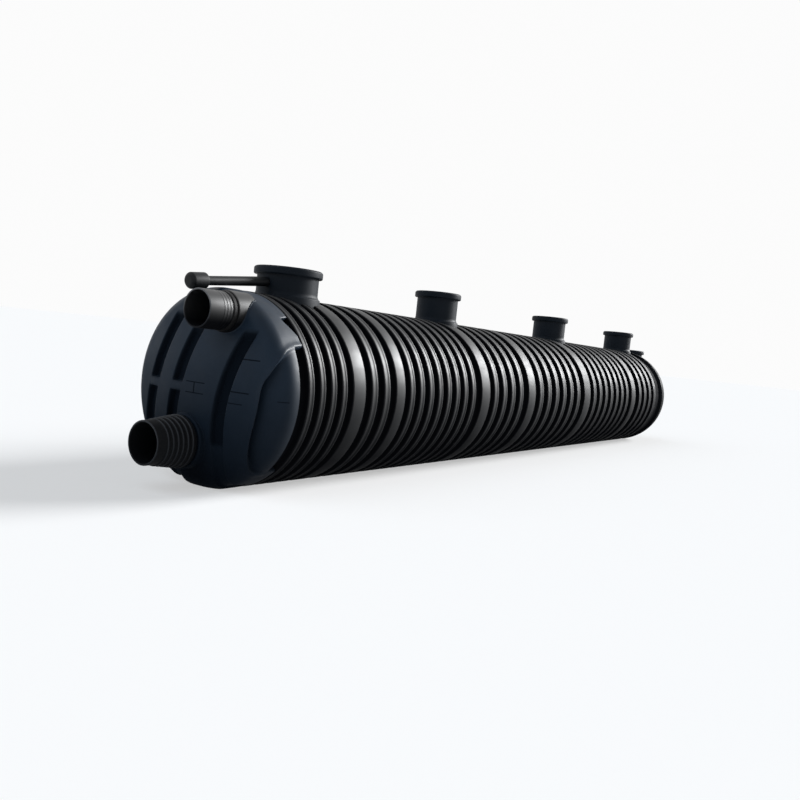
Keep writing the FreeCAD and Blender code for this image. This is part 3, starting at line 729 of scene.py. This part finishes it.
def moulded(out, off, out_dir, off_dir, t):
    """The inlet dome's face with its grooves and its cheek recess, which has a raised border."""
    y = off * np.cos(t)
    z = off * np.sin(t)
    away = cheek_distance(out, off, out_dir, off_dir, t)
    share = smooth(-CHEEK_EDGE, CHEEK_EDGE, -away)
    depth = groove_depth(y, z) - lip(away)
    out = out - depth * out_dir
    off = off - depth * off_dir
    bowl = (out / CHEEK_DISH) ** CHEEK_POWER + (off / RADIUS) ** CHEEK_POWER
    bowl = bowl ** (1 / CHEEK_POWER)
    scale = 1 + share * (np.minimum(1 / bowl, 1) - 1)
    return out * scale, off * scale


def dome_piece(name, place, outside, hollow, steps, columns, face, material):
    """A dished shell: face rows from the pole to the rim, then hollow rows back to the pole."""
    t = around(columns)[None, :]
    out, off, out_dir, off_dir = (line[:, None] for line in dish_rows(outside, steps))
    if face:
        out, off = face(out, off, out_dir, off_dir, t)
    inner_out, inner_off = (line[::-1, None] for line in dish_rows(hollow, HOLLOW_ROWS)[:2])
    grids = []
    for a, b in ((out, off), (inner_out, inner_off)):
        b = b + 0 * t
        grids.append(np.stack([place(a + 0 * t), b * np.cos(t), AXIS + b * np.sin(t)], -1))
    verts = np.concatenate(grids).reshape(-1, 3)
    faces = capped_faces(steps + HOLLOW_ROWS, columns)
    return flat_foot(make(name, verts, faces, material, DOME_SHARP))


def pipe_cutter(node, rad):
    """The room that a pipe takes in the dome."""
    x0, x1 = span_x(node)
    at = mid(node)
    profile = [(x0, ON_AXIS), (x0, rad), (x1, rad), (x1, ON_AXIS)]
    return turn("PipeRoom", profile, PIPE, "X", (0, at.y, at.z), CUT_COLUMNS)


def shoulder(name):
    """The dome's shoulder on the barrel: open at the cheek, with a lifting slot on each side."""
    t = np.linspace(SHOULDER_TOE, math.pi - math.asin(ARCH_HEAD / RADIUS), SHOULDER_STEPS)
    ends = RADIUS * np.minimum(t - t[0], t[-1] - t)
    roll = SHOULDER_ROLL - np.sqrt(SHOULDER_ROLL**2 - np.maximum(SHOULDER_ROLL - ends, 0) ** 2)
    off_top = np.degrees(np.abs(t - math.pi / 2))
    slot = smooth(SLOT_FROM, SLOT_FULL, off_top)
    slot = slot * np.clip((SLOT_TO - off_top) / SLOT_TAPER, 0, 1)
    reach = SHOULDER - slot * (SHOULDER - SLOT_REST)
    foot = np.full_like(t, ROOT + 0.0005)
    face = RADIUS - roll + lip(RADIUS * (t[-1] - t))
    # outline of the shoulder at each t: foot, face, rounded edge and back to the foot
    loop = [
        (0 * t, foot),
        (0 * t, face - 0.001),
        (reach * 0.5, face - 0.002),
        (np.maximum(reach - 0.020, 0.006), face - 0.004),
        (np.maximum(reach - 0.007, 0.009), face - 0.009),
        (reach, face - 0.020),
        (np.maximum(reach - 0.012, 0.004), foot),
    ]
    rows = []
    for x, r in loop:
        lean = SHOULDER_SLANT * (1 - x / SHOULDER) * smooth(t[-1] - SLANT_RUN, t[-1], t)
        slant = t + lean
        rows.append(np.stack([START + x, r * np.cos(slant), AXIS + r * np.sin(slant)], -1))
    verts = np.stack(rows, 1).reshape(-1, 3)
    faces = capped_faces(len(t), len(loop))
    settle(flat_foot(make(name, verts, faces, DOME, DOME_SHARP)), "shell_pe")


inlet = dome_piece(
    "inlet_dome",
    lambda out: START - out,
    INLET,
    INLET_HOLLOW,
    INLET_ROWS,
    INLET_COLUMNS,
    moulded,
    DOME,
)
carve(
    inlet,
    pipe_cutter("upper_pipe", UPPER_R - PIPE_SINK),
    pipe_cutter("lower_pipe", LOWER_R - PIPE_SINK),
)
settle(inlet, "shell_pe", "inlet_dome_crown", "inlet_dome_flanks", "inlet_dome_invert")
shoulder("inlet_shoulder")

outlet = dome_piece(
    "outlet_dome",
    lambda out: FINISH + out,
    OUTLET,
    OUTLET_HOLLOW,
    OUTLET_ROWS,
    BARREL_COLUMNS,
    None,
    END,
)
last_x = mid("neck_5_collar").x
carve(outlet, disc_cutter("LastWay", last_x, LAST_BORE, level(LAST_WAY_FLOOR)))
settle(outlet, "shell_pe", "outlet_dome_crown", "outlet_dome_flanks", "outlet_dome_invert")


def face_reach(y, z):
    """How far the inlet dome's face stands out at y and z from the axis."""
    out, off, out_dir, _ = dish_rows(INLET, FINE_ROWS)
    r = np.minimum(np.hypot(y, z), RADIUS - 1e-4)
    return np.interp(r, off, out) - groove_depth(y, z) * np.interp(r, off, out_dir)


def weld(name, points, thick):
    """A closed weld bead along points, with the ripple of its passes."""
    count = len(points)
    ahead = np.roll(points, -1, 0) - np.roll(points, 1, 0)
    ahead /= np.linalg.norm(ahead, axis=1, keepdims=True)
    outward = points - points.mean(0)
    outward -= (outward * ahead).sum(1, keepdims=True) * ahead
    outward /= np.linalg.norm(outward, axis=1, keepdims=True)
    side = np.cross(ahead, outward)
    steps = around(count)
    ripple = 0.10 * np.sin(57 * steps) + 0.08 * np.sin(23 * steps + 1)
    size = thick * (1 + ripple)[:, None, None]
    a = around(WELD_SIDES)[None, :, None]
    ring = outward[:, None, :] * np.cos(a) + side[:, None, :] * np.sin(a)
    verts = (points[:, None, :] + size * ring).reshape(-1, 3)
    settle(make(name, verts, grid_faces(count, WELD_SIDES, True), DOME), "shell_pe")


def dome_weld(name, centre, rad, thick, least):
    """A weld bead where a round piece meets the inlet dome, at least so far from its rim plane."""
    t = around(WELD_POINTS)
    y = centre.y + rad * np.cos(t)
    z = centre.z - AXIS + rad * np.sin(t)
    within = np.minimum(RADIUS / np.hypot(y, z), 1)
    y, z = y * within, z * within
    x = START - np.maximum(face_reach(y, z), least)
    weld(name, np.stack([x, y, AXIS + z], -1), thick)


def dome_top(extra):
    """Height of the outlet dome's face at x and y."""
    out, off, _, _ = dish_rows(OUTLET, DOME_TOP_ROWS)

    def at(x, y):
        r = np.interp(x - FINISH, out[::-1], off[::-1])
        return AXIS + np.sqrt(np.maximum((r + extra) ** 2 - y**2, 0))

    return at


def neck_piece(k, bore, thick, foot, seat):
    """A tube with a bead collar; its spread foot stands at foot and reaches down to seat."""
    low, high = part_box(f"neck_{k}_collar")
    x = (low.x + high.x) / 2
    top = high.z
    tube = bore + thick
    spread = [(tube + FOOT_RUN, -0.01)]
    for a in np.linspace(FOOT_FIRST, math.pi / 2, FOOT_STEPS):
        spread.append((tube + FOOT_RUN * (1 - math.sin(a)), FOOT_RISE * (1 - math.cos(a))))
    mouth = [(tube, top - 0.004), (tube - 0.005, top), (bore + 0.005, top), (bore, top - 0.006)]
    t = around(COLUMNS)

    def ring(rad, z, rise=0):
        px = x + rad * np.cos(t)
        py = rad * np.sin(t)
        return np.stack([px, py, z(px, py) + rise], -1)

    rows = [ring(tube + FOOT_RUN, seat)]
    rows += [ring(rad, foot, rise) for rad, rise in spread]
    rows += [ring(rad, level(z)) for rad, z in mouth]
    rows.append(ring(bore, seat))
    obj = make(f"neck_{k}", np.concatenate(rows), grid_faces(len(rows), COLUMNS, True), NECK)
    settle(obj, "neck_pe", f"neck_{k}_tube")
    bead = [
        (low.z + 0.014, tube + NECK_GAP),
        (low.z + 0.010, tube + BEAD_CREST),
        (low.z, tube + 0.032),
        (low.z + 0.014, tube + BEAD_OUT),
        (high.z - 0.018, tube + BEAD_OUT),
        (high.z, tube + BEAD_CREST),
        (high.z, tube + NECK_GAP),
    ]
    bead = soften(bead, [0, 0.006, 0.006, 0.014, 0.02, 0.02, 0], 4)
    collar = turn(f"neck_{k}_bead", bead, NECK, "Z", (x, 0, 0))
    settle(collar, "neck_pe", f"neck_{k}_collar")


for k, (bore, thick, _) in NECKS.items():
    neck_piece(k, bore, thick, level(AXIS + RADIUS), wall_top(-FOOT_SINK))
neck_piece(5, LAST_BORE, LAST_WALL, dome_top(DOME_FOOT_LIFT), dome_top(-FOOT_SINK))


def pipe_ring(name, profile, radii, material, slot, node, at):
    ring = turn(name, soften(profile, radii), material, "X", (0, at.y, at.z))
    settle(ring, slot, node)


def upper_pieces():
    """The upper pipe with its stop beads, the rubber seal and the socket on the dome."""
    inside = span_x("upper_pipe")[1]
    seal_from, seal_to = span_x("upper_seal")
    socket_from, socket_to = span_x("upper_socket")
    bore = UPPER_R - UPPER_WALL
    line = [(inside, bore), (inside, UPPER_R)]
    radii = [0.004, 0.004]
    for i in range(STOP_COUNT):
        end = seal_from - STOP_PITCH * (i + 1) + STOP_BACK
        line += [
            (end, UPPER_R),
            (end - STOP_SLOPE, UPPER_R + STOP_RISE),
            (end - STOP_WIDTH + STOP_SLOPE, UPPER_R + STOP_RISE),
            (end - STOP_WIDTH, UPPER_R),
        ]
        radii += [0.006] * 4
    line += [(UPPER_MOUTH, UPPER_R), (UPPER_MOUTH, bore)]
    radii += [0.005, 0.007]
    pipe_ring("upper_stub", line, radii, PIPE, "pipe_pe", "upper_pipe", upper)
    line = [
        (seal_from, UPPER_R + PIPE_GAP),
        (seal_from, UPPER_R + 0.006),
        (seal_from + 0.012, UPPER_R + 0.009),
        (seal_to - 0.012, UPPER_R + 0.009),
        (seal_to, UPPER_R + 0.006),
        (seal_to, UPPER_R + PIPE_GAP),
    ]
    pipe_ring("upper_seal_ring", line, 0.003, RUBBER, "seal_rubber", "upper_seal", upper)
    line = [
        (socket_from, UPPER_R + PIPE_GAP),
        (socket_from, SOCKET_R),
        (socket_to, SOCKET_R),
        (socket_to, UPPER_R + PIPE_GAP),
    ]
    radii = [0.004, 0.008, 0, 0]
    pipe_ring("upper_socket_ring", line, radii, PIPE, "pipe_pe", "upper_socket", upper)
    dome_weld("upper_weld", upper, SOCKET_R + WELD_STAND, 0.008, INLET[0])


def lower_pieces():
    """The lower pipe, a smooth lip and then rings that grow towards its base collar."""
    inside = span_x("lower_pipe")[1]
    base_from, base_to = span_x("lower_base")
    bore = LOWER_R - LOWER_WALL
    ends = RINGS[-1] + RING_PITCH
    crest = LOWER_R + RING_GROWTH * RING_COUNT
    line = [(inside, bore), (inside, LOWER_R), (ends, LOWER_R), (ends, crest)]
    radii = [0.004, 0.004, 0.003, 0.004]
    for i, at in reversed(list(enumerate(RINGS))):
        foot = LOWER_R + RING_GROWTH * i
        line += [
            (at + 0.040, foot + RING_GROWTH),
            (at + 0.030, foot + 0.014),
            (at + 0.010, foot + 0.014),
            (at, foot),
        ]
        radii += [0.003] * 4
    line += [(LOWER_MOUTH, LOWER_R), (LOWER_MOUTH, bore)]
    radii += [0.007, 0.009]
    pipe_ring("lower_stub", line, radii, STUB, "pipe_pe", "lower_pipe", lower)
    line = [
        (base_from, LOWER_R + PIPE_GAP),
        (base_from, BASE_R - 0.012),
        (base_from + 0.012, BASE_R),
        (base_to, BASE_R),
        (base_to, LOWER_R + PIPE_GAP),
    ]
    radii = [0.004, 0.01, 0.01, 0, 0]
    pipe_ring("lower_base_collar", line, radii, DOME, "pipe_pe", "lower_base", lower)
    dome_weld("lower_weld", lower, BASE_R + WELD_STAND, 0.009, 0.0)


upper_pieces()
lower_pieces()

vent_place = Matrix.Translation((mid("neck_1_collar").x, 0, AXIS + RADIUS + VENT_RISE))
vent_place = vent_place @ Matrix.Rotation(math.pi - VENT_FALL, 4, "Y")


def vent_piece(name, profile, node):
    obj = turn(name, profile, VENT, "X", (0, 0, 0), VENT_COLUMNS)
    obj.data.transform(vent_place)
    settle(obj, "pipe_pe", node)


def vent_radius(x):
    return VENT_ROOT + (VENT_R - VENT_ROOT) * min(x / CAP_FROM, 1)


vent_outside = [(x, vent_radius(x)) for x in (VENT_START, CAP_FROM, VENT_END)]
vent_inside = [(x, r - VENT_WALL) for x, r in reversed(vent_outside)]
vent_piece("vent_tube", vent_outside + vent_inside, "vent_pipe")
cap_line = [
    (CAP_FROM, VENT_R + CAP_GAP),
    (CAP_FROM, CAP_BACK_R),
    (CAP_FROM + 0.016, CAP_R),
    (CAP_TO - 0.032, CAP_R),
    (CAP_TO, CAP_FRONT_R),
    (CAP_TO, ON_AXIS),
    (VENT_END + 0.001, ON_AXIS),
    (VENT_END + 0.001, VENT_R + CAP_GAP),
]
cap_line = soften(cap_line, [0, 0.01, 0.016, 0.03, 0.03, 0, 0, 0], 4)
vent_piece("vent_end_cap", cap_line, "vent_cap")

scene = bpy.context.scene
scene.view_settings.view_transform = "Standard"

# stage and light: how white the background is seen, and how much of that the floor gives
WHITE = (1, 1, 1)
PALE = 0.97
FLOOR_TONE = (0.96, 0.96, 0.96, 1)
FLOOR_GLOW = 0.5
FLOOR_HALF, FLOOR_DROP = 400, 0.002
SKY, SKY_STRENGTH = (0.84, 0.92, 1.0), 0.08


def empty_tree(owner):
    owner.use_nodes = True
    owner.node_tree.nodes.clear()
    return owner.node_tree


def seen_rays(tree):
    """1 for rays that the camera sees, straight on or in a reflection, 0 for the others."""
    path = tree.nodes.new("ShaderNodeLightPath")
    seen = path.outputs["Is Camera Ray"]
    for kind in ("Is Glossy Ray", "Is Transmission Ray"):
        either = tree.nodes.new("ShaderNodeMath")
        either.operation = "MAXIMUM"
        tree.links.new(seen, either.inputs[0])
        tree.links.new(path.outputs[kind], either.inputs[1])
        seen = either.outputs["Value"]
    return seen


def glow(tree, kind, colour, strength):
    """A shader that gives light of its own."""
    n = tree.nodes.new(kind)
    n.inputs["Color"].default_value = (*colour, 1)
    n.inputs["Strength"].default_value = strength
    return n


def show(tree, output, factor, first, second):
    """Puts out the first shader where the factor is 0 and the second where it is 1."""
    mixer = tree.nodes.new("ShaderNodeMixShader")
    tree.links.new(factor, mixer.inputs["Fac"])
    tree.links.new(first.outputs[0], mixer.inputs[1])
    tree.links.new(second.outputs[0], mixer.inputs[2])
    tree.links.new(mixer.outputs["Shader"], tree.nodes.new(output).inputs["Surface"])


floor_material = bpy.data.materials.new("Floor")
tree = empty_tree(floor_material)
diffuse = tree.nodes.new("ShaderNodeBsdfDiffuse")
diffuse.inputs["Color"].default_value = FLOOR_TONE
share = tree.nodes.new("ShaderNodeMath")
share.operation = "MULTIPLY"
tree.links.new(seen_rays(tree), share.inputs[0])
share.inputs[1].default_value = FLOOR_GLOW
pale_glow = glow(tree, "ShaderNodeEmission", WHITE, PALE)
show(tree, "ShaderNodeOutputMaterial", share.outputs["Value"], diffuse, pale_glow)
mesh = bpy.data.meshes.new("Floor")
sides = ((-1, -1), (1, -1), (1, 1), (-1, 1))
corners = [(x * FLOOR_HALF, y * FLOOR_HALF, -FLOOR_DROP) for x, y in sides]
mesh.from_pydata(corners, [], [(0, 1, 2, 3)])
floor = bpy.data.objects.new("Floor", mesh)
scene.collection.objects.link(floor)
mesh.materials.append(floor_material)

world = bpy.data.worlds.new("Studio")
scene.world = world
tree = empty_tree(world)
sky = glow(tree, "ShaderNodeBackground", SKY, SKY_STRENGTH)
white = glow(tree, "ShaderNodeBackground", WHITE, PALE)
show(tree, "ShaderNodeOutputWorld", seen_rays(tree), sky, white)


def sun(name, towards, strength, angle, colour, mirrored):
    """A distant lamp that shines from a direction; mirrored lamps show in reflections."""
    lamp = bpy.data.lights.new(name, "SUN")
    lamp.energy = strength
    lamp.angle = math.radians(angle)
    lamp.color = colour
    obj = bpy.data.objects.new(name, lamp)
    scene.collection.objects.link(obj)
    obj.matrix_world = (-Vector(towards)).to_track_quat("-Z", "Y").to_matrix().to_4x4()
    obj.visible_glossy = mirrored


sun(
    "Key",
    towards=(0.85, -0.34, 0.38),
    strength=5.6,
    angle=22,
    colour=(0.98, 0.99, 1.0),
    mirrored=True,
)
sun(
    "Fill",
    towards=(-0.65, 0.25, 0.70),
    strength=1.2,
    angle=70,
    colour=(0.80, 0.90, 1.0),
    mirrored=False,
)

# the camera stands where the photograph was taken from: places in tank radii, turns in radians
UNIT = 1.1
EYE_BACK, EYE_ASIDE, EYE_ABOVE = 5.75, 5.8754, 0.6191
HEADING, PITCH, ROLL = 0.5786, -0.0685, -0.1047
SENSOR, LENS, CLIP_END = 36, 36, 1000
eye = Vector((START - EYE_BACK * UNIT, -EYE_ASIDE * UNIT, AXIS + EYE_ABOVE * UNIT))
level_ahead = math.cos(PITCH)
ahead = Vector(
    (math.cos(HEADING) * level_ahead, math.sin(HEADING) * level_ahead, math.sin(PITCH))
)
right = Vector((math.sin(HEADING), -math.cos(HEADING), 0))
down = ahead.cross(right)
image_right = right * math.cos(ROLL) + down * math.sin(ROLL)
image_down = down * math.cos(ROLL) - right * math.sin(ROLL)
camera_data = bpy.data.cameras.new("Camera")
camera_data.sensor_width = SENSOR
camera_data.lens = LENS
camera_data.clip_end = CLIP_END
camera = bpy.data.objects.new("Camera", camera_data)
scene.collection.objects.link(camera)
axes = Matrix((image_right, -image_down, -ahead)).transposed()
camera.matrix_world = Matrix.Translation(eye) @ axes.to_4x4()
scene.camera = camera
